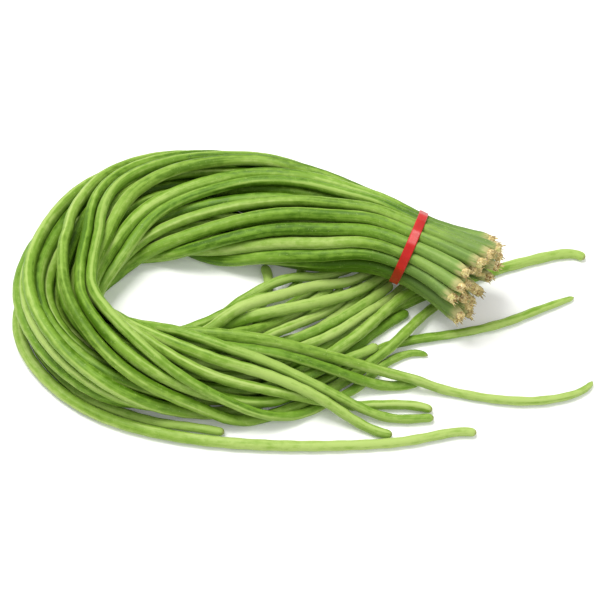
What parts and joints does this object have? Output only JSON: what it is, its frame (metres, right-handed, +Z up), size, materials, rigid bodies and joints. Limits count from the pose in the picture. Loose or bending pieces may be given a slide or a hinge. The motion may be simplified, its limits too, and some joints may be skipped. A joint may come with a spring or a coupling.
{
  "type": "yardlong bean bunch",
  "caption": "Bunch of long thin green bean pods tied near the stem ends with a red rubber band, bent round into a loop so the tips fan out beneath; lies flat on a surface.",
  "frame": {"origin": "on the surface it lies on, below the middle of the bunch's bounding box", "axes": "+X along the bunch, from the bend of the loop towards the stem ends and tips; +Y across it, from the fanned tips towards the tied run; +Z up"},
  "size_m": [0.355, 0.2306, 0.0588],
  "materials": {
    "pod_green": "satin fresh pod skin, pale to mid green",
    "band_red": "smooth red rubber with a soft sheen"
  },
  "bodies": {
    "root": {"bean_01": "pod_green", "bean_02": "pod_green", "bean_03": "pod_green", "bean_04": "pod_green", "bean_05": "pod_green", "bean_06": "pod_green", "bean_07": "pod_green", "bean_08": "pod_green", "bean_09": "pod_green", "bean_10": "pod_green", "bean_11": "pod_green", "bean_12": "pod_green", "bean_13": "pod_green", "bean_14": "pod_green", "bean_15": "pod_green", "bean_16": "pod_green", "bean_17": "pod_green", "bean_18": "pod_green", "bean_19": "pod_green", "bean_20": "pod_green", "bean_21": "pod_green", "bean_22": "pod_green", "bean_23": "pod_green", "bean_24": "pod_green", "bean_25": "pod_green", "bean_26": "pod_green", "bean_27": "pod_green", "bean_28": "pod_green", "bean_29": "pod_green", "bean_30": "pod_green", "bean_31": "pod_green", "rubber_band": "band_red"}
  },
  "joints": []
}
